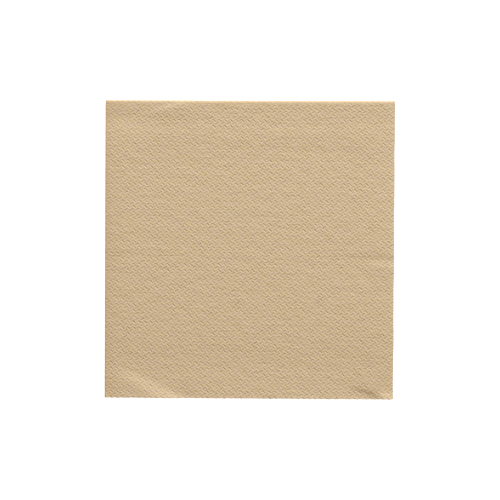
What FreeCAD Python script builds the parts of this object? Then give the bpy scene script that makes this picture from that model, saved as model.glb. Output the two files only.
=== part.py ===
import FreeCAD
import Part

import math
import os

# A paper napkin: one sheet of soft tissue, folded in half twice and lying flat. Lengths are in millimetres.
# X runs along the second fold, Y points towards it and Z is up. The first fold is the edge at -X and the
# second fold is the edge at +Y, so the corner between them is closed. The sheet's cut edges lie at +X and -Y.
# The first fold makes a pair of layers joined by a tight crease. The second fold rolls that pair over itself.
# The origin is at the middle of the bounding box, on the surface that the napkin lies on.

# The open sheet
sheet_width = 194.4  # across the first fold
sheet_length = 200.0  # across the second fold
sheet_thickness = 0.25  # two soft plies pressed together

# The first fold
crease_gap = 0.2  # between the two layers of a pair
crease_miss = 0.5  # the outer half reaches this much past the inner half at the cut edges

# The second fold
roll_gap = 0.6  # between the pairs inside the round turn, which springs open a little
stack_gap = 0.3  # between the pairs where they lie flat
roll_miss = 0.5  # the upper pair reaches this much past the lower pair
fall_angle = 1.5  # degrees, of the slope on which the upper pair comes down from the turn
settle_radius = 60.0  # of the soft bend where that slope levels out

# The crease, from its middle outwards
crease_inner_radius = crease_gap / 2
crease_middle_radius = crease_inner_radius + sheet_thickness / 2
crease_outer_radius = crease_inner_radius + sheet_thickness
pair_thickness = 2 * crease_outer_radius

# The round turn, from its middle outwards
roll_middle_radius = (roll_gap + pair_thickness) / 2
roll_outer_radius = roll_middle_radius + pair_thickness / 2
roll_height = roll_outer_radius

# The way down from the turn, along the middle of the pair
fall = math.radians(fall_angle)
fall_drop = roll_gap - stack_gap
bends_drop = (roll_middle_radius + settle_radius) * (1 - math.cos(fall))
fall_run = (fall_drop - bends_drop) / math.sin(fall)
bends_reach = (roll_middle_radius + settle_radius) * math.sin(fall)
fall_reach = fall_run * math.cos(fall) + bends_reach
bends_length = (math.pi + fall) * roll_middle_radius + fall * settle_radius

# The flat runs, which with the bends add up to the open sheet
crease_length = math.pi * crease_middle_radius
outer_width = (sheet_width - crease_length + crease_miss) / 2
inner_width = outer_width - crease_miss
lower_run = (sheet_length - bends_length - fall_run + fall_reach - roll_miss) / 2
upper_run = lower_run + roll_miss - fall_reach

# Places
folded_width = crease_outer_radius + outer_width
folded_length = roll_outer_radius + lower_run + roll_miss
crease_x = crease_outer_radius - folded_width / 2
roll_y = folded_length / 2 - roll_outer_radius
lower_end_y = roll_y - lower_run

ALONG_X = FreeCAD.Vector(1, 0, 0)


def in_section(x, z):
    """A point of the pair's section, in the plane of the lower pair's cut edge."""
    return FreeCAD.Vector(x, lower_end_y, z)


def half_turn(radius, rising):
    """The half circle at the crease with this radius, from the lower layer to the upper one if rising."""
    bottom = in_section(crease_x, crease_outer_radius - radius)
    left = in_section(crease_x - radius, crease_outer_radius)
    top = in_section(crease_x, crease_outer_radius + radius)
    if rising:
        return Part.Arc(bottom, left, top).toShape()
    return Part.Arc(top, left, bottom).toShape()


def straight(start, end):
    """A straight edge of the section between two (x, z) points."""
    return Part.makeLine(in_section(*start), in_section(*end))


def pair_section():
    """The once-folded sheet, cut across its crease: two long layers joined by a half turn."""
    outer_end = crease_x + outer_width
    inner_end = crease_x + inner_width
    inner_face_below = sheet_thickness
    inner_face_above = pair_thickness - sheet_thickness
    edges = [
        straight((outer_end, 0), (crease_x, 0)),
        half_turn(crease_outer_radius, rising=True),
        straight((crease_x, pair_thickness), (inner_end, pair_thickness)),
        straight((inner_end, pair_thickness), (inner_end, inner_face_above)),
        straight((inner_end, inner_face_above), (crease_x, inner_face_above)),
        half_turn(crease_inner_radius, rising=False),
        straight((crease_x, inner_face_below), (outer_end, inner_face_below)),
        straight((outer_end, inner_face_below), (outer_end, 0)),
    ]
    return Part.Face(Part.Wire(edges))


def moved(face, way):
    """A copy of the section, moved along a vector."""
    copy = face.copy()
    copy.translate(way)
    return copy


def turned(face, centre, degrees):
    """A copy of the section, turned about a line along X."""
    copy = face.copy()
    copy.rotate(centre, ALONG_X, degrees)
    return copy


def folded_sheet():
    """The pair carried along the second fold: out, round the turn, down the slope, level and back."""
    # The lower pair, from its cut edge to the turn
    out = FreeCAD.Vector(0, lower_run, 0)
    section = pair_section()
    lower_pair = section.extrude(out)
    section = moved(section, out)

    # The round turn, which goes on past the half circle to point down the slope
    roll_centre = FreeCAD.Vector(0, roll_y, roll_height)
    roll_angle = 180 + fall_angle
    turn = section.revolve(roll_centre, ALONG_X, roll_angle)
    section = turned(section, roll_centre, roll_angle)

    # The slope
    down = FreeCAD.Vector(0, -math.cos(fall), -math.sin(fall))
    slope = section.extrude(down * fall_run)
    section = moved(section, down * fall_run)

    # The soft bend that brings the pair level, about a line above the sheet
    upright = FreeCAD.Vector(0, -math.sin(fall), math.cos(fall))
    slope_end = roll_centre + upright * roll_middle_radius + down * fall_run
    bend_centre = slope_end + upright * settle_radius
    bend = section.revolve(bend_centre, ALONG_X, -fall_angle)
    section = turned(section, bend_centre, -fall_angle)

    # The upper pair, back to its cut edge
    upper_pair = section.extrude(FreeCAD.Vector(0, -upper_run, 0))

    sheet = lower_pair.multiFuse([turn, slope, bend, upper_pair]).removeSplitter()
    return sheet.Solids[0]


def main():
    """Writes the napkin and prints the sizes that it came out at."""
    sheet = folded_sheet()
    box = sheet.BoundBox
    print("valid", sheet.isValid(), "closed", sheet.isClosed(), "faces", len(sheet.Faces))
    print("box", [round(v, 3) for v in (box.XMin, box.XMax, box.YMin, box.YMax, box.ZMin, box.ZMax)])
    print("volume", round(sheet.Volume, 2), "open sheet", sheet_width * sheet_length * sheet_thickness)
    print("slope", round(fall_run, 2), "lower run", round(lower_run, 2), "upper run", round(upper_run, 2))
    os.makedirs("parts", exist_ok=True)
    sheet.exportStep("parts/napkin_sheet.step")


main()
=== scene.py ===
import math

import bpy
import numpy as np
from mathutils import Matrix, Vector
from mathutils.geometry import delaunay_2d_cdt


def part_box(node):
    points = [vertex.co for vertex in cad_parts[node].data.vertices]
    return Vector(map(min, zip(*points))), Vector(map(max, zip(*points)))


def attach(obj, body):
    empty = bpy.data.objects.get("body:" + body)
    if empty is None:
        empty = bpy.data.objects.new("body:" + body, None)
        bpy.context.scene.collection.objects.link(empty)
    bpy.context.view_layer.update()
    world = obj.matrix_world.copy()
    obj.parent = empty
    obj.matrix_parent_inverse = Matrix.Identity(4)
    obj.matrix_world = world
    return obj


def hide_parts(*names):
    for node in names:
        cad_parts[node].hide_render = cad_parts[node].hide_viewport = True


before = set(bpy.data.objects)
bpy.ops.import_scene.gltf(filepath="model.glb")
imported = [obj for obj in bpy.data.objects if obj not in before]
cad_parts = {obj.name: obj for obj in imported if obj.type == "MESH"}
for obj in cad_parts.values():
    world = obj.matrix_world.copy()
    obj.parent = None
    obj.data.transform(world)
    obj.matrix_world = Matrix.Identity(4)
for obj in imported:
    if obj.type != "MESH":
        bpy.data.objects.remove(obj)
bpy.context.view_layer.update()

# A folded paper napkin on a pale table. The sheet is drawn open, as width and length from its crease and its
# lower cut edge, and every point is then carried round the two folds. Lengths are millimetres until the mesh
# is written, and metres after that.
MM = 0.001

# The folded napkin's box, from the frame
NODE = "napkin_sheet"
box_low, box_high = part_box(NODE)
LEFT = box_low[0] / MM
RIGHT = box_high[0] / MM
FRONT = box_low[1] / MM
BACK = box_high[1] / MM
ROLL_OUTER = box_high[2] / MM / 2

# The open sheet
SHEET_LENGTH = 200.0
THICKNESS = 0.25
CREASE_GAP = 0.2
CREASE_MISS = 0.5
ROLL_MISS = 0.5
STACK_GAP = 0.3

# The crease
CREASE_MIDDLE = (CREASE_GAP + THICKNESS) / 2
PAIR = 2 * THICKNESS + CREASE_GAP
CREASE_X = LEFT + PAIR / 2
CREASE_ARC = math.pi / 2 * CREASE_MIDDLE
OUTER_WIDTH = RIGHT - CREASE_X + CREASE_ARC
INNER_WIDTH = OUTER_WIDTH - CREASE_MISS

# The roll, and the slope on which the upper pair comes down from it
ROLL_MIDDLE = ROLL_OUTER - PAIR / 2
ROLL_Y = BACK - ROLL_OUTER
LOWER_END = FRONT + ROLL_MISS
FALL_ANGLE = math.radians(0.9)
SETTLE_RADIUS = 60.0
FALL_DROP = 2 * ROLL_OUTER - 2 * PAIR - STACK_GAP
FALL_RUN = (FALL_DROP - (ROLL_MIDDLE + SETTLE_RADIUS) * (1 - math.cos(FALL_ANGLE))) / math.sin(FALL_ANGLE)

# The pressed pattern, as the photo has it on the top layer
PITCH_X = 1.909
PITCH_Y = 1.941
PHASE_X = 0.325
PHASE_Y = -0.065
RISING = (0.487, 0.236)
FALLING = (0.982, 0.726)
STROKE_HALF = 0.47
STROKE_WIDTH = 0.155
RIM_WIDTH = 2.0
RIM_HEIGHT = 0.34
STROKE_DEPTH = 0.09
STROKE_LEAN = 44
DEPTH_SPREAD = 0.2

# Every random draw comes from here
draws = np.random.default_rng(20)


def smooth(low, high, value):
    """A soft step from 0 at low to 1 at high."""
    share = np.clip((value - low) / (high - low), 0, 1)
    return share * share * (3 - 2 * share)


# The two folds

def roll_path():
    """Sheet length, heading, place along Y and height of the pair's middle, at fine steps."""
    lower_run = ROLL_Y - LOWER_END
    turn = (math.pi + FALL_ANGLE) * ROLL_MIDDLE
    knots = np.cumsum([0, lower_run, turn, FALL_RUN, FALL_ANGLE * SETTLE_RADIUS, SHEET_LENGTH])
    headings = [0, 0, math.pi + FALL_ANGLE, math.pi + FALL_ANGLE, math.pi, math.pi]
    step = 0.02
    along = np.arange(0, SHEET_LENGTH + 1, step)
    heading = np.interp(along, knots, headings)
    middle = (heading[1:] + heading[:-1]) / 2
    y = LOWER_END + np.concatenate([[0], np.cumsum(np.cos(middle) * step)])
    z = PAIR / 2 + np.concatenate([[0], np.cumsum(np.sin(middle) * step)])
    return along, heading, y, z, knots


ALONG, HEADING, PATH_Y, PATH_Z, KNOTS = roll_path()
ROLL_START = KNOTS[1]
ROLL_END = KNOTS[2]
SHEET_END = np.interp(FRONT, PATH_Y[::-1], ALONG[::-1])


def folded(s, t, out):
    """Where a point of the open sheet lies when folded. out is its height over the sheet's middle."""
    turn = np.clip(s / CREASE_MIDDLE, -math.pi / 2, math.pi / 2)
    flat = np.sign(s) * np.maximum(np.abs(s) - CREASE_ARC, 0)
    radius = CREASE_MIDDLE + out
    x = CREASE_X - radius * np.cos(turn) + np.abs(flat)
    level = -radius * np.sin(turn)
    heading = np.interp(t, ALONG, HEADING)
    y = np.interp(t, ALONG, PATH_Y) - level * np.sin(heading)
    z = np.interp(t, ALONG, PATH_Z) + level * np.cos(heading)
    return x, y, z


# Soft relief of the layers

# Ridges and hollows of the top layer: middle x and y, direction in degrees, half length, width on its two
# sides, height. The first width is on the side that a quarter turn to the left of the direction points to.
SWELLS = (
    ("hollow behind the roll", -36, 44.0, 0, 11, 2.2, 2.8, -0.24),
    ("hollow behind the roll", 4, 43.4, 0, 16, 2.2, 2.0, -0.1),
    ("hollow behind the roll", 36, 43.0, 0, 12, 2.2, 2.5, -0.2),
    ("hollow at the closed corner", -46, 44.0, 0, 5, 2.2, 2.4, -0.2),
    ("pucker across the closed corner", -25.5, 47.6, 15, 5.5, 0.8, 3.5, 0.5),
    ("swell along the roll", -26, 38.0, 0, 20, 2.4, 5, 0.12),
    ("swell along the roll", 6, 38.0, 0, 10, 2.4, 5, 0.05),
    ("swell at the back right", 34.5, 38.2, -41, 8, 5, 2, 0.17),
    ("press mark across the back", 0, 33.2, 0, 60, 1.5, 1.2, -0.03),
    ("press mark across the back", 18, 32.6, 0, 7, 1.6, 0.9, -0.14),
    ("fold mark at the right edge", 43, -3.6, -2, 10, 1.2, 8, -0.34),
    ("lip beside that mark", 47, -6.0, -3, 5, 1.0, 3.5, 0.36),
    ("fold mark at the left edge", -48.5, -4.4, 0, 4, 2.4, 4, -0.2),
    ("trough along the front", -6, -39.3, 0, 34, 5, 4.2, -0.28),
    ("sunk front at the right", 37, -46, 0, 11, 10, 5, -0.42),
    ("notch at the front right", 40.5, -51.5, 0, 4.5, 3.2, 1.5, -0.5),
    ("dip beside the lifted corner", -21, -50, -30, 3, 2.2, 1.4, -0.35),
    ("crease before the front right tip", 41.3, -49.8, -22, 4.2, 1.0, 1.8, -0.66),
    ("swell behind that crease", 40.5, -47.2, -22, 4.2, 2.2, 0.9, 0.26),
    ("curled tip at the front right", 46.4, -50.3, 0, 2.6, 1.1, 1.0, 0.9),
    ("hollow before the lifted corner", -38, -39, -20, 10, 4, 3, -0.12),
)


def swell(x, y, middle_x, middle_y, degrees, half_length, left_width, right_width, height):
    """A soft ridge, or a hollow where height is below 0."""
    turn = math.radians(degrees)
    along = (x - middle_x) * math.cos(turn) + (y - middle_y) * math.sin(turn)
    across = -(x - middle_x) * math.sin(turn) + (y - middle_y) * math.cos(turn)
    width = np.where(across > 0, left_width, right_width)
    return height * np.exp(-((across / width) ** 2 + (along / half_length) ** 2) / 2)


def beyond(x, y, at_x, at_y, degrees, width):
    """A soft step that is 1 on the right of a line through a point, and 0 on its left."""
    turn = math.radians(degrees)
    across = (x - at_x) * math.sin(turn) - (y - at_y) * math.cos(turn)
    return smooth(-width / 2, width / 2, across)


def ripple(x, y, seed, shortest, longest, count, slope):
    """Uneven ripples: waves of many lengths, mostly lying across the sheet, all of the same steepness."""
    waves = np.random.default_rng(seed)
    total = np.zeros_like(x)
    for _ in range(count):
        length = shortest * (longest / shortest) ** (waves.uniform() ** 1.3)
        turn = waves.normal(math.pi / 2, 0.8)
        along = x * math.cos(turn) + y * math.sin(turn)
        size = slope * length / (2 * math.pi) * math.sqrt(2 / count)
        total = total + size * np.sin(2 * math.pi * (along / length + waves.uniform()))
    return total


# The slanting fold behind the lifted corner: a point on it, its direction in degrees and its width
CORNER_FOLD = (-35.5, -45.7, -25, 5.2)
CORNER_LIFT = 0.75
CORNER_RISE = 0.06


def lifted_corner(x, y):
    """The front left corner stands up from a slanting fold, and rises towards the right to where it ends."""
    corner = beyond(x, y, *CORNER_FOLD) * smooth(-52, -40, x) * (1 - smooth(-26, -20.5, x))
    return (CORNER_LIFT + CORNER_RISE * np.clip(x + 40, -10, 16)) * corner


FRONT_LIP = 0.16
FRONT_REACH = 1.2


def front_lip(y):
    """The front cut edge turns up a little."""
    return FRONT_LIP * np.exp(-(y - FRONT) / FRONT_REACH)


def right_drop(x, y):
    """The right cut edge hangs down a little, more so towards the back."""
    depth = 0.55 + 0.3 * smooth(-10, 10, y)
    reach = 1.4 + 0.8 * smooth(0, 20, y)
    return depth * np.exp(-(RIGHT - x) / reach)


# The share of the written heights that is used, how far the top sinks freely, and how much more at most
RELIEF = 0.46
EASY_DEPTH = -0.29
LAST_DEPTH = 0.21


def resting(lift):
    """The lift, kept off the layers below: a deep hollow levels out as it comes down to them."""
    deep = np.maximum(EASY_DEPTH - lift, 0)
    return np.where(lift < EASY_DEPTH, EASY_DEPTH - LAST_DEPTH * np.tanh(deep / LAST_DEPTH), lift)


def top_relief(x, y):
    """How far the top layer stands off its even height."""
    lift = sum(swell(x, y, *values) for _, *values in SWELLS)
    lift = lift + lifted_corner(x, y)
    lift = lift + front_lip(y)
    lift = lift - right_drop(x, y)
    lift = lift + ripple(x, y, seed=7, shortest=1.35, longest=8, count=120, slope=0.038)
    return resting(RELIEF * lift)


# How square the roll is pressed, and how much more so at the closed corner
ROLL_SQUARE = 0.19
CORNER_SQUARE = 0.16

# How much lower the stack lies at the crease and at the closed corner, and how far in from the left that goes
CREASE_TIGHT = 0.25
CREASE_REACH = 2.5
CORNER_TIGHT = 0.3
CORNER_REACH = 9


def settled(x, y, z, lift):
    """The height with the soft lift of the layers. The roll is pressed squarer, and the stack lies tighter
    along the crease and at the closed corner."""
    up = z / ROLL_OUTER - 1
    square = ROLL_SQUARE + CORNER_SQUARE * (1 - smooth(-24, -14, x))
    z = z + ROLL_OUTER * square * (up - up ** 3) * smooth(ROLL_Y - 3, ROLL_Y, y)
    crease = CREASE_TIGHT * np.exp(-(x - LEFT) / CREASE_REACH)
    corner = CORNER_TIGHT * np.exp(-(x - LEFT) / CORNER_REACH) * smooth(30, 46, y)
    return (z + lift) * (1 - crease) * (1 - corner)


def layer_share(s, t):
    """How much of the top relief a point takes part in: none on the table and all of it on top."""
    height = smooth(ROLL_START, ROLL_END, t)
    inner = 1 - smooth(-CREASE_ARC, CREASE_ARC, s)
    room = 2 * CREASE_GAP + STACK_GAP
    low_share = CREASE_GAP / room
    high_share = 1 - low_share
    inner_share = low_share + (high_share - low_share) * height
    return height * (1 - inner) + inner_share * inner


def wobble(along, size, seed):
    """An uneven wave of about that length, mostly between -1 and 1."""
    waves = np.random.default_rng(seed)
    total = 0
    count = 9
    for _ in range(count):
        length = size * waves.uniform(0.6, 1.8)
        total = total + np.sin(2 * math.pi * (along / length + waves.uniform()))
    return total / math.sqrt(count)


# The pressed pattern

def lattice(s, t):
    """The place of a point in the pattern's cells, counted from the photo's lattice."""
    x = CREASE_X + s - CREASE_ARC
    y = FRONT + SHEET_END - t
    return PHASE_X + x / PITCH_X, PHASE_Y - y / PITCH_Y


# How many columns of cells there are, with twice as many rows, and how many of them come before column 0
CELLS = 120
LESS = 30

# How deep each stroke is, as a share of the usual depth
uneven = np.clip(draws.normal(1, DEPTH_SPREAD, size=(2, CELLS, CELLS * 2)), 0.3, 1.7)


def stroke_middle(kind, column, row):
    """The middle of a stroke in the open sheet. Kind 0 rises to the right as the photo shows it, 1 falls."""
    across, down = (RISING, FALLING)[kind]
    s = (column + across - PHASE_X) * PITCH_X - CREASE_X + CREASE_ARC
    t = (row + down - PHASE_Y) * PITCH_Y + FRONT + SHEET_END
    return s, t


def stroke_lean(kind):
    """The direction of a stroke in the open sheet."""
    return math.radians((-STROKE_LEAN, STROKE_LEAN)[kind])


def stroke_depth(kind, column, row):
    """How deep one stroke is, as a share of the usual depth."""
    return uneven[kind, (column + LESS) % CELLS, (row + CELLS) % (CELLS * 2)]


# A stroke further off than this isn't beside a point
BESIDE = 0.8


def pressed(s, t):
    """How deep the pattern is pressed at a point, and the depth of the stroke beside it."""
    u, v = lattice(s, t)
    total = np.zeros_like(s)
    beside = np.ones_like(s)
    nearest = np.full_like(s, BESIDE)
    for kind in (0, 1):
        column = np.rint(u - (RISING, FALLING)[kind][0]).astype(int)
        row = np.rint(v - (RISING, FALLING)[kind][1]).astype(int)
        mid_s, mid_t = stroke_middle(kind, column, row)
        lean = stroke_lean(kind)
        along = (s - mid_s) * math.cos(lean) + (t - mid_t) * math.sin(lean)
        across = -(s - mid_s) * math.sin(lean) + (t - mid_t) * math.cos(lean)
        past = np.maximum(np.abs(along) - STROKE_HALF, 0)
        away = np.sqrt(past ** 2 + across ** 2)
        depth = stroke_depth(kind, column, row)
        dip = np.exp(-(away / STROKE_WIDTH) ** 2 / 2)
        total += depth * (dip - RIM_HEIGHT * dip ** (1 / RIM_WIDTH ** 2))
        beside = np.where(away < nearest, depth, beside)
        nearest = np.minimum(nearest, away)
    return total, beside


# What is left of the pattern in the crease, and what the roll and the closed corner take away
CREASE_KEEPS = 0.4
ROLL_WORN = 0.8
CORNER_WORN = 0.5


def pattern_strength(s, t):
    """The pattern is pressed full over the panels, and worn soft where the sheet is creased or rolled."""
    crease = smooth(0, 2, np.abs(s))
    roll = smooth(ROLL_START - 2, ROLL_START, t) * (1 - smooth(ROLL_END - 1, ROLL_END + 2, t))
    corner = np.exp(-((s / 9) ** 2 + ((t - ROLL_END) / 6) ** 2))
    kept = CREASE_KEEPS + (1 - CREASE_KEEPS) * crease
    return kept * (1 - ROLL_WORN * roll) * (1 - CORNER_WORN * corner)


# The points of the open sheet, in columns and rows where it bends, and on the strokes where it lies flat

CREASE_ZONE = 0.8
CREASE_COLUMNS = np.array([-0.8, -0.5, -0.34, -0.24, -0.14, -0.05, 0.05, 0.14, 0.24, 0.34, 0.5, 0.8])
ROLL_ZONE = (ROLL_START - 0.3, (ROLL_START + ROLL_END) / 2 - 0.3)
WHOLE_ROLL = (ROLL_START - 0.3, ROLL_END + 0.3)
EDGE_STEP = 0.55
CREASE_STEP = 0.7
INNER_CREASE_STEP = 1.6
ROLL_STEP = 0.45
ROLL_TURN_STEP = 0.21
HIDDEN_STEP = 2.0
HIDDEN_ROLL_STEP = 2.6
TURN_STEP = 0.22


def spread(low, high, step):
    """Even places from low to high, about step apart."""
    return np.linspace(low, high, max(2, round((high - low) / step) + 1))


def grid(columns, rows):
    """Every crossing of columns and rows, as an array of points."""
    return np.stack(np.meshgrid(columns, rows, indexing="ij"), -1).reshape(-1, 2)


def rim_points():
    """The sheet's outline, counterclockwise from the inner half's lower corner."""
    across = spread(-INNER_WIDTH, OUTER_WIDTH, EDGE_STEP)
    up = spread(0, SHEET_END, EDGE_STEP)
    low = np.stack([across[:-1], np.zeros(len(across) - 1)], 1)
    right = np.stack([np.full(len(up) - 1, OUTER_WIDTH), up[:-1]], 1)
    high = np.stack([across[:0:-1], np.full(len(across) - 1, SHEET_END)], 1)
    left = np.stack([np.full(len(up) - 1, -INNER_WIDTH), up[:0:-1]], 1)
    return np.concatenate([low, right, high, left])


def stroke_places(full):
    """Where points stand on one stroke, along it and across it, and which of them are joined by lines."""
    places = [(-STROKE_HALF, 0), (STROKE_HALF, 0)]
    lines = [(0, 1)]
    if full:
        side = 0.24
        tip = STROKE_HALF + 0.2
        end = 0.85 * STROKE_HALF
        places += [(-end, side), (end, side), (-end, -side), (end, -side), (-tip, 0), (tip, 0)]
        lines += [(2, 3), (4, 5)]
    return np.array(places), lines


def stroke_points(full, s_low, s_high, t_low, t_high):
    """Points on the floor, the sides and the ends of the strokes in a rectangle, and on the pads between."""
    column, row = np.meshgrid(np.arange(-LESS, CELLS - LESS), np.arange(-CELLS, CELLS), indexing="ij")
    points = []
    edges = []
    count = 0
    places, lines = stroke_places(full)
    along = places[:, 0, None]
    across = places[:, 1, None]
    for kind in (0, 1):
        s, t = stroke_middle(kind, column, row)
        near = (s > s_low - 1) & (s < s_high + 1) & (t > t_low - 1) & (t < t_high + 1)
        s = s[near]
        t = t[near]
        lean = stroke_lean(kind)
        point_s = s + along * math.cos(lean) - across * math.sin(lean)
        point_t = t + along * math.sin(lean) + across * math.cos(lean)
        point_s = np.concatenate([point_s, s[None] + PITCH_X / 2])
        point_t = np.concatenate([point_t, t[None]])
        group = np.stack([point_s, point_t], -1)
        number = count + np.arange(group.shape[0] * group.shape[1]).reshape(group.shape[:2])
        points.append(group.reshape(-1, 2))
        for one, two in lines:
            edges.append(np.stack([number[one], number[two]], 1))
        count += number.size
    points = np.concatenate(points)
    edges = np.concatenate(edges)
    keep = (points[:, 0] > s_low) & (points[:, 0] < s_high)
    keep &= (points[:, 1] > t_low) & (points[:, 1] < t_high)
    edges = edges[keep[edges].all(1)]
    return points[keep], (np.cumsum(keep) - 1)[edges]


def outer_face_points():
    """The face that shows on top and on the table, with its pattern, and between the pairs."""
    margin = 0.16
    s_high = OUTER_WIDTH - margin
    top, top_lines = stroke_points(True, CREASE_ZONE, s_high, ROLL_ZONE[1], SHEET_END - margin)
    table, table_lines = stroke_points(False, CREASE_ZONE, s_high, margin, ROLL_ZONE[0])
    roll = grid(spread(CREASE_ZONE, s_high, ROLL_STEP), spread(*ROLL_ZONE, ROLL_TURN_STEP))
    crease = grid(CREASE_COLUMNS, spread(margin, SHEET_END - margin, CREASE_STEP))
    inner_half = (-INNER_WIDTH + 1, -CREASE_ZONE - 1)
    hidden = grid(spread(*inner_half, HIDDEN_STEP), spread(1, SHEET_END - 1, HIDDEN_STEP))
    hidden = hidden[(hidden[:, 1] < WHOLE_ROLL[0]) | (hidden[:, 1] > WHOLE_ROLL[1])]
    hidden_roll = grid(spread(*inner_half, HIDDEN_ROLL_STEP), spread(*WHOLE_ROLL, TURN_STEP))
    lines = np.concatenate([top_lines, table_lines + len(top)])
    rim = rim_points()
    points = np.concatenate([rim, top, table, roll, crease, hidden, hidden_roll])
    return points, lines + len(rim)


def inner_face_points():
    """The face inside each pair, which hardly shows."""
    margin = 0.5
    left = spread(-INNER_WIDTH + 1, -1.5, HIDDEN_STEP)
    right = spread(1.5, OUTER_WIDTH - 1, HIDDEN_STEP)
    low = spread(1, ROLL_START - 1, HIDDEN_STEP)
    high = spread(ROLL_END + 1, SHEET_END - 1, HIDDEN_STEP)
    s = np.concatenate([left, right])
    flat = grid(s, np.concatenate([low, high]))
    roll = grid(s, spread(*WHOLE_ROLL, TURN_STEP))
    crease = grid(CREASE_COLUMNS[1:-1], spread(margin, SHEET_END - margin, INNER_CREASE_STEP))
    return np.concatenate([rim_points(), flat, roll, crease]), np.zeros((0, 2), int)


def triangles(points, lines):
    """Joins points of the open sheet into triangles that keep to the lines, and gives their corners."""
    lines = [tuple(line) for line in lines.tolist()]
    flat = [Vector(point) for point in points]
    _, _, faces, sources, _, _ = delaunay_2d_cdt(flat, lines, [], 0, 1e-7)
    back = np.array([source[0] if source else -1 for source in sources])
    return back[np.array([tuple(face) for face in faces])]


# The mesh

# Millimetres to one unit of the sheet's map, which the material turns back into millimetres
MAP_SPAN = 400

# How far in from the cut edges their waver dies away
WAVER_REACH = 0.8


def wander(s, t):
    """The cut edges waver in step with the pattern, and more slowly too."""
    to_front = np.minimum(np.abs(t), np.abs(SHEET_END - t))
    to_side = np.minimum(np.abs(OUTER_WIDTH - s), np.abs(s + INNER_WIDTH))
    front = 0.05 + 0.07 * wobble(s, PITCH_X, seed=3) + 0.05 * wobble(s, 14, seed=4)
    side = 0.02 * wobble(t, PITCH_Y, seed=5) + 0.05 * wobble(t, 18, seed=6)
    new_s = s + side * np.exp(-to_side / WAVER_REACH) * np.sign(s)
    new_t = t + front * np.exp(-to_front / WAVER_REACH) * np.sign(t - SHEET_END / 2)
    return new_s, new_t


# How much the napkin is out of square, as a share of its size, and how hollow its back edge is
SKEW = 0.002
BACK_HOLLOW = 0.06


def skewed(x, y):
    """The napkin is a little out of square: its front is narrower and its back edge slants and is hollow."""
    narrower = SKEW * x * (1 - y / 50)
    slanted = SKEW * x * y / 50
    hollow = BACK_HOLLOW * (x / 45) ** 2 * smooth(40, 50, y)
    return x - narrower, y + slanted + hollow


def place(s, t, out):
    """The folded place of points, with the soft relief of the layers and the waver of their cut edges."""
    s, t = wander(s, t)
    x, y, z = folded(s, t, out)
    z = settled(x, y, z, layer_share(s, t) * top_relief(x, y))
    x, y = skewed(x, y)
    return np.stack([x, y, z], -1)


def outer_place(s, t, depth=0):
    """A point of the face with the pattern, pressed in by a share of the usual depth."""
    return place(s, t, THICKNESS / 2 - STROKE_DEPTH * depth)


def inner_place(s, t):
    """A point of the face inside each pair."""
    return place(s, t, np.full(len(s), -THICKNESS / 2))


def unit(ways):
    """The ways at a length of 1. One of no length stays 0, and the mesh then takes its own normal there."""
    shortest = 1e-9
    return ways / np.maximum(np.linalg.norm(ways, axis=1), shortest)[:, None]


def normals(face, s, t):
    """Which way the surface looks, from the slopes of the face itself."""
    step = 0.02
    across = face(s + step, t) - face(s - step, t)
    along = face(s, t + step) - face(s, t - step)
    return unit(np.cross(along, across))


def paint(mesh, name, values):
    """Stores a value at every point of the mesh, for the material to read."""
    attribute = mesh.attributes.new(name, "FLOAT", "POINT")
    attribute.data.foreach_set("value", values)


def rim_middle(rim):
    """The line along the middle of the cut edge, which is rounded and so stands out a little."""
    hair = 1e-6
    right = rim[:, 0] > OUTER_WIDTH - hair
    left = rim[:, 0] < -INNER_WIDTH + hair
    high = rim[:, 1] > SHEET_END - hair
    low = rim[:, 1] < hair
    out_s = EDGE_ROUND * right - EDGE_ROUND * left
    out_t = EDGE_ROUND * high - EDGE_ROUND * low
    return rim + np.stack([out_s, out_t], 1)


def rim_faces(count, first_inner, first_rim):
    """The cut edge's faces, from the outer face to the rim's middle and on to the inner face."""
    here = np.arange(count)
    ahead = np.roll(here, -1)
    faces = []
    for low, high in ((0, first_rim), (first_rim, first_inner)):
        faces.append(np.stack([low + here, low + ahead, high + ahead, high + here], 1))
    return np.concatenate(faces)


def map_sheet(mesh, flat):
    """Lays the open sheet out as the mesh's map."""
    uv = mesh.uv_layers.new(name="open_sheet")
    corner = np.zeros(len(mesh.loops), int)
    mesh.loops.foreach_get("vertex_index", corner)
    uv.data.foreach_set("uv", ((flat[corner] + (OUTER_WIDTH, 0)) / MAP_SPAN).ravel())


def painted_crease_shade(s, t):
    """Painted shade along the folds: how much the colour is darkened, up to 1 in the crease and on the roll.
    """
    near_crease = np.abs(s)
    near_roll = np.abs(t - (ROLL_START + ROLL_END) / 2)
    crease_shade = np.exp(-near_crease / 0.3) + 0.08 * np.exp(-near_crease / 3) + np.exp(-(near_roll / 0.8) ** 2)
    return np.minimum(crease_shade, 1)


# How far the rounded cut edge stands out, and how deep a stroke may be as a share of the usual depth
EDGE_ROUND = 0.05
DEEPEST = 1.3


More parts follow.
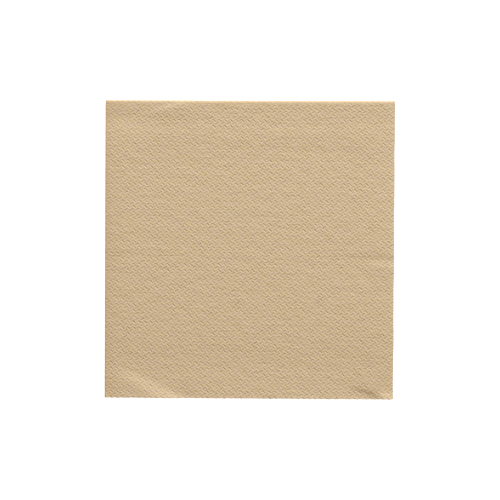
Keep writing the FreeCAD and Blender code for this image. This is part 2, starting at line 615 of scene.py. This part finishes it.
def build_sheet():
    """One closed sheet: two faces and the rim between them."""
    outer, outer_lines = outer_face_points()
    inner, inner_lines = inner_face_points()
    rim = rim_points()
    rim_count = len(rim)
    outer_faces = triangles(outer, outer_lines)[:, ::-1]
    inner_faces = triangles(inner, inner_lines)
    depth, beside = pressed(outer[:, 0], outer[:, 1])
    strength = pattern_strength(outer[:, 0], outer[:, 1])
    shown = smooth(-1.2, -0.6, outer[:, 0])
    rim_out = rim_middle(rim)
    # On the side that lies on the table the strokes have no raised rims, which would reach below it
    lowest = np.where(outer[:, 1] < ROLL_ZONE[0], 0, -1)
    outer_places = outer_place(outer[:, 0], outer[:, 1], np.clip(depth * strength * shown, lowest, DEEPEST))
    inner_places = inner_place(inner[:, 0], inner[:, 1])
    rim_places = place(rim_out[:, 0], rim_out[:, 1], np.zeros(rim_count))
    outer_ways = normals(outer_place, outer[:, 0], outer[:, 1])
    inner_ways = -normals(inner_place, inner[:, 0], inner[:, 1])
    middle_face = (outer_places[:rim_count] + inner_places[:rim_count]) / 2
    rim_ways = unit(rim_places - middle_face)
    first_inner = len(outer)
    first_rim = first_inner + len(inner)
    quads = rim_faces(rim_count, first_inner, first_rim)
    places = np.concatenate([outer_places, inner_places, rim_places]) * MM
    ways = np.concatenate([outer_ways, inner_ways, rim_ways])
    # The inner face lies beside the outer one on the map
    flat = np.concatenate([outer, inner + (2 * OUTER_WIDTH + 10, 0), rim])
    mesh = bpy.data.meshes.new("folded_napkin")
    faces = outer_faces.tolist() + (inner_faces + first_inner).tolist() + quads.tolist()
    mesh.from_pydata(places.tolist(), [], faces)
    map_sheet(mesh, flat)
    # The mask of painted shade along the crease and the roll, for the material
    paint(mesh, "crease_shade", painted_crease_shade(flat[:, 0], flat[:, 1]))
    paint(mesh, "stroke_strength", np.concatenate([beside * strength, np.zeros(len(places) - len(outer))]))
    mesh.polygons.foreach_set("use_smooth", np.ones(len(mesh.polygons), bool))
    mesh.normals_split_custom_set_from_vertices(ways.tolist())
    mesh.update()
    piece = bpy.data.objects.new("folded_napkin", mesh)
    bpy.context.scene.collection.objects.link(piece)
    return piece


# Material

TISSUE_PALE = (0.495, 0.362, 0.219, 1)
TISSUE_DEEP = (0.457, 0.324, 0.187, 1)
# Painted shade: the darker, deeper colour multiplied in along the crease and on the roll
CREASE_SHADE_TINT = (0.89, 0.78, 0.61, 1)
TISSUE_ROUGHNESS = 0.85
TISSUE_SPECULAR = 0.3
PATTERN_HEIGHT = 0.106
GRAIN_HEIGHT = 0.24

# Grains per millimetre of the fibres, the clumps, the clouds and the flecks
FIBRES = 0.57
CLUMPS = 0.65
CLOUDS = 0.35
FLECKS = 1.15

# How the fibres are drawn out, and how far the flecks change red, green and blue
FIBRE_STRETCH = (0.5, 2.2, 1)
FLECK_RANGE = (0.35, 0.0, 1.4)


def add(tree, kind, at, **settings):
    """A shader node at a place on the board, with its own settings."""
    new = tree.nodes.new(kind)
    new.location = at
    for name, value in settings.items():
        setattr(new, name, value)
    return new


def wire(tree, *pairs):
    """Joins sockets, each pair from an output to an input."""
    for start, end in pairs:
        tree.links.new(start, end)


def new_group(name, inputs, outputs):
    """An empty node group with its sockets, and its two end nodes."""
    group = bpy.data.node_groups.new(name, "ShaderNodeTree")
    for label, kind in inputs:
        group.interface.new_socket(label, in_out="INPUT", socket_type=kind)
    for label, kind in outputs:
        group.interface.new_socket(label, in_out="OUTPUT", socket_type=kind)
    start = add(group, "NodeGroupInput", (-900, 0))
    end = add(group, "NodeGroupOutput", (700, 0))
    return group, start, end


def noise(tree, at, scale, detail, roughness=0.5):
    """A noise texture of that many grains per millimetre."""
    new = add(tree, "ShaderNodeTexNoise", at)
    new.inputs["Scale"].default_value = scale
    new.inputs["Detail"].default_value = detail
    new.inputs["Roughness"].default_value = roughness
    return new


def fibre_layer(group, start, height, degrees, scale):
    """Noise drawn out into short fibres that lie in one direction."""
    turn = add(group, "ShaderNodeMapping", (-700, height))
    turn.inputs["Rotation"].default_value = (0, 0, math.radians(degrees))
    turn.inputs["Scale"].default_value = FIBRE_STRETCH
    grain = noise(group, (-500, height), scale, 2)
    wire(
        group,
        (start.outputs["Place"], turn.inputs["Vector"]),
        (turn.outputs["Vector"], grain.inputs["Vector"]),
    )
    return grain.outputs["Fac"]


def tissue_grain():
    """The tissue's fine unevenness: crossing fibres and clumps for the height, and clouds for the tone."""
    group, start, end = new_group(
        "tissue_grain",
        [("Place", "NodeSocketVector")],
        [("Height", "NodeSocketFloat"), ("Tone", "NodeSocketFloat")],
    )
    first = fibre_layer(group, start, 300, 35, FIBRES)
    second = fibre_layer(group, start, 0, -50, FIBRES * 1.15)
    crossing = add(group, "ShaderNodeMath", (-250, 150), operation="ADD")
    clumps = noise(group, (-500, -300), CLUMPS, 2)
    both = add(group, "ShaderNodeMath", (0, 100), operation="ADD")
    third = add(group, "ShaderNodeMath", (250, 100), operation="MULTIPLY")
    third.inputs[1].default_value = 1 / 3
    clouds = noise(group, (-500, -600), CLOUDS, 4, 0.6)
    wire(
        group,
        (first, crossing.inputs[0]),
        (second, crossing.inputs[1]),
        (start.outputs["Place"], clumps.inputs["Vector"]),
        (crossing.outputs[0], both.inputs[0]),
        (clumps.outputs["Fac"], both.inputs[1]),
        (both.outputs[0], third.inputs[0]),
        (third.outputs[0], end.inputs["Height"]),
        (start.outputs["Place"], clouds.inputs["Vector"]),
        (clouds.outputs["Fac"], end.inputs["Tone"]),
    )
    return group


def colour_flecks():
    """Fibres of slightly different browns, as a factor for each channel of the colour."""
    group, start, end = new_group(
        "colour_flecks",
        [("Place", "NodeSocketVector")],
        [("Factor", "NodeSocketVector")],
    )
    flecks = noise(group, (-500, 0), FLECKS, 3, 1.0)
    factor = add(group, "ShaderNodeVectorMath", (0, 0), operation="MULTIPLY_ADD")
    factor.inputs[1].default_value = FLECK_RANGE
    factor.inputs[2].default_value = [1 - share / 2 for share in FLECK_RANGE]
    wire(
        group,
        (start.outputs["Place"], flecks.inputs["Vector"]),
        (flecks.outputs["Color"], factor.inputs[0]),
        (factor.outputs[0], end.inputs["Factor"]),
    )
    return group


def sum_of(group, kind, one, two=None):
    """One step of arithmetic, laid out in rows of eight. Each side is a socket or a number."""
    row, column = divmod(len(group.nodes), 8)
    step = add(group, "ShaderNodeMath", (160 * column - 600, -180 * row), operation=kind)
    for socket, value in zip(step.inputs, (one, two)):
        if value is None:
            continue
        if isinstance(value, (int, float)):
            socket.default_value = value
        else:
            group.links.new(value, socket)
    return step.outputs[0]


def off_middle(group, value, middle, pitch):
    """How far a value is from the nearest stroke's middle."""
    cells = sum_of(group, "DIVIDE", sum_of(group, "SUBTRACT", value, middle), pitch)
    return sum_of(group, "MULTIPLY", sum_of(group, "SUBTRACT", cells, sum_of(group, "ROUND", cells)), pitch)


def stroke_family(group, s, t, kind):
    """The depth of the strokes that lean one way."""
    middle_s, middle_t = stroke_middle(kind, 0, 0)
    lean = stroke_lean(kind)
    off_s = off_middle(group, s, middle_s, PITCH_X)
    off_t = off_middle(group, t, middle_t, PITCH_Y)
    along_s = sum_of(group, "MULTIPLY", off_s, math.cos(lean))
    along_t = sum_of(group, "MULTIPLY", off_t, math.sin(lean))
    across_s = sum_of(group, "MULTIPLY", off_s, -math.sin(lean))
    across_t = sum_of(group, "MULTIPLY", off_t, math.cos(lean))
    along = sum_of(group, "ABSOLUTE", sum_of(group, "ADD", along_s, along_t))
    across = sum_of(group, "ADD", across_s, across_t)
    past = sum_of(group, "MAXIMUM", sum_of(group, "SUBTRACT", along, STROKE_HALF), 0)
    away = sum_of(group, "ADD", sum_of(group, "POWER", past, 2), sum_of(group, "MULTIPLY", across, across))
    dip = sum_of(group, "EXPONENT", sum_of(group, "MULTIPLY", away, -0.5 / STROKE_WIDTH ** 2))
    rim = sum_of(group, "MULTIPLY", sum_of(group, "POWER", dip, 1 / RIM_WIDTH ** 2), RIM_HEIGHT)
    return sum_of(group, "SUBTRACT", dip, rim)


def pressed_pattern():
    """The pressed strokes, at the same places as in the mesh: 1 on the floor of a stroke, 0 on the pads and
    less than 0 on the raised rims."""
    group, start, end = new_group(
        "pressed_pattern",
        [("Place", "NodeSocketVector"), ("Strength", "NodeSocketFloat")],
        [("Depth", "NodeSocketFloat")],
    )
    parts = add(group, "ShaderNodeSeparateXYZ", (-700, 0))
    wire(group, (start.outputs["Place"], parts.inputs[0]))
    rising = stroke_family(group, parts.outputs["X"], parts.outputs["Y"], 0)
    falling = stroke_family(group, parts.outputs["X"], parts.outputs["Y"], 1)
    both = sum_of(group, "ADD", rising, falling)
    depth = sum_of(group, "MULTIPLY", both, start.outputs["Strength"])
    wire(group, (depth, end.inputs["Depth"]))
    return group


def painted_shade_tone():
    """Painted shade: the colour is darkened and made deeper where the sheet is creased or rolled."""
    group, start, end = new_group(
        "painted_shade_tone",
        [("Color", "NodeSocketColor"), ("Shade", "NodeSocketFloat")],
        [("Color", "NodeSocketColor")],
    )
    shaded = add(group, "ShaderNodeMix", (100, 0), data_type="RGBA", blend_type="MULTIPLY")
    shaded.inputs["B"].default_value = CREASE_SHADE_TINT
    wire(
        group,
        (start.outputs["Shade"], shaded.inputs["Factor"]),
        (start.outputs["Color"], shaded.inputs["A"]),
        (shaded.outputs["Result"], end.inputs["Color"]),
    )
    return group


def kraft_tissue():
    """Unbleached soft tissue: matt, uneven in colour, with a fine fibre grain."""
    material = bpy.data.materials.new("kraft_tissue")
    material.use_nodes = True
    tree = material.node_tree
    shader = tree.nodes["Principled BSDF"]
    shader.inputs["Roughness"].default_value = TISSUE_ROUGHNESS
    shader.inputs["Specular IOR Level"].default_value = TISSUE_SPECULAR
    sheet = add(tree, "ShaderNodeUVMap", (-2000, 0), uv_map="open_sheet")
    in_mm = add(tree, "ShaderNodeVectorMath", (-1800, 0), operation="SCALE")
    in_mm.inputs["Scale"].default_value = MAP_SPAN
    from_crease = add(tree, "ShaderNodeVectorMath", (-1600, 0), operation="SUBTRACT")
    from_crease.inputs[1].default_value = (OUTER_WIDTH, 0, 0)
    grain = add(tree, "ShaderNodeGroup", (-1300, -100), node_tree=tissue_grain())
    strength = add(tree, "ShaderNodeAttribute", (-1600, 300), attribute_name="stroke_strength")
    pattern = add(tree, "ShaderNodeGroup", (-1300, 200), node_tree=pressed_pattern())
    crease_shade = add(tree, "ShaderNodeAttribute", (-1000, 500), attribute_name="crease_shade")
    cloudy = add(tree, "ShaderNodeMix", (-1000, 100), data_type="RGBA")
    cloudy.inputs["A"].default_value = TISSUE_DEEP
    cloudy.inputs["B"].default_value = TISSUE_PALE
    flecks = add(tree, "ShaderNodeGroup", (-1000, 700), node_tree=colour_flecks())
    flecked = add(tree, "ShaderNodeVectorMath", (-750, 400), operation="MULTIPLY")
    # Painted shade along the crease and the roll, multiplied into the colour
    tone = add(tree, "ShaderNodeGroup", (-500, 300), node_tree=painted_shade_tone())
    rise = add(tree, "ShaderNodeMath", (-1000, -200), operation="MULTIPLY")
    rise.inputs[1].default_value = GRAIN_HEIGHT
    height = add(tree, "ShaderNodeMath", (-750, -200), operation="MULTIPLY_ADD")
    height.inputs[1].default_value = -PATTERN_HEIGHT
    bump = add(tree, "ShaderNodeBump", (-500, -200))
    bump.inputs["Distance"].default_value = MM
    wire(
        tree,
        (sheet.outputs["UV"], in_mm.inputs[0]),
        (in_mm.outputs[0], from_crease.inputs[0]),
        (from_crease.outputs[0], grain.inputs["Place"]),
        (from_crease.outputs[0], pattern.inputs["Place"]),
        (strength.outputs["Fac"], pattern.inputs["Strength"]),
        (grain.outputs["Tone"], cloudy.inputs["Factor"]),
        (from_crease.outputs[0], flecks.inputs["Place"]),
        (cloudy.outputs["Result"], flecked.inputs[0]),
        (flecks.outputs["Factor"], flecked.inputs[1]),
        (flecked.outputs[0], tone.inputs["Color"]),
        (crease_shade.outputs["Fac"], tone.inputs["Shade"]),
        (tone.outputs["Color"], shader.inputs["Base Color"]),
        (grain.outputs["Height"], rise.inputs[0]),
        (pattern.outputs["Depth"], height.inputs[0]),
        (rise.outputs[0], height.inputs[2]),
        (height.outputs[0], bump.inputs["Height"]),
        (bump.outputs["Normal"], shader.inputs["Normal"]),
    )
    return material


# Floor, light and camera

# A soft, cool window low behind the napkin, and a warm room
KEY_FROM = 14
KEY_UP = 25
KEY_DISTANCE = 1.6
KEY_SIZE = 0.72
KEY_POWER = 54.2
KEY_COLOR = (0.84, 1.0, 1.18)
ROOM_LIGHT = 0.458
ROOM_COLOR = (1.2, 1.0, 0.76)

# The table, which glows a little so that it is white in the picture
TABLE_GREY = (0.3, 0.3, 0.3, 1)
TABLE_GLOW = 0.95


def table_top():
    """A pale, matt table."""
    bpy.ops.mesh.primitive_plane_add(size=3, location=(0, 0, 0))
    table = bpy.context.object
    table.name = "table_top"
    material = bpy.data.materials.new("white_table")
    material.use_nodes = True
    shader = material.node_tree.nodes["Principled BSDF"]
    shader.inputs["Base Color"].default_value = TABLE_GREY
    shader.inputs["Roughness"].default_value = 0.9
    shader.inputs["Specular IOR Level"].default_value = 0.0
    shader.inputs["Emission Color"].default_value = (1, 1, 1, 1)
    shader.inputs["Emission Strength"].default_value = TABLE_GLOW
    table.data.materials.append(material)


def area_light(name, azimuth, elevation, distance, size, power, color):
    """A square soft light that looks at the napkin. Azimuth runs from +Y towards +X."""
    data = bpy.data.lights.new(name, "AREA")
    data.shape = "SQUARE"
    data.size = size
    data.energy = power
    data.color = color
    light = bpy.data.objects.new(name, data)
    turn = math.radians(azimuth)
    rise = math.radians(elevation)
    way = Vector((math.sin(turn) * math.cos(rise), math.cos(turn) * math.cos(rise), math.sin(rise)))
    light.location = way * distance
    light.rotation_euler = way.to_track_quat("Z", "Y").to_euler()
    bpy.context.scene.collection.objects.link(light)


def world_light(strength, color):
    """Even light from all round."""
    world = bpy.data.worlds.new("soft_room")
    world.use_nodes = True
    background = world.node_tree.nodes["Background"]
    background.inputs["Color"].default_value = (*color, 1)
    background.inputs["Strength"].default_value = strength
    bpy.context.scene.world = world


# The photo's frame: its scale and where the napkin's middle lies in it
FRAME_PX = 500
MM_PER_PX = 0.3373
MIDDLE_PX = (249.5, 249.2)
PHOTO_TURN = 0.3
LENS = 135
SENSOR = 36


def camera():
    """Straight above, turned as the photo is."""
    data = bpy.data.cameras.new("above")
    data.lens = LENS
    data.sensor_width = SENSOR
    eye = bpy.data.objects.new("above", data)
    wide = FRAME_PX * MM_PER_PX * MM
    height = wide * LENS / SENSOR
    off_x = (FRAME_PX / 2 - MIDDLE_PX[0]) * MM_PER_PX * MM
    off_y = -(FRAME_PX / 2 - MIDDLE_PX[1]) * MM_PER_PX * MM
    eye.location = (off_x, off_y, height)
    eye.rotation_euler = (0, 0, math.radians(PHOTO_TURN))
    bpy.context.scene.collection.objects.link(eye)
    bpy.context.scene.camera = eye


napkin = build_sheet()
napkin.data.materials.append(kraft_tissue())
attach(napkin, "root")
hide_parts(NODE)

table_top()
area_light("window", KEY_FROM, KEY_UP, KEY_DISTANCE, KEY_SIZE, KEY_POWER, KEY_COLOR)
world_light(ROOM_LIGHT, ROOM_COLOR)
camera()
bpy.context.scene.view_settings.view_transform = "Standard"
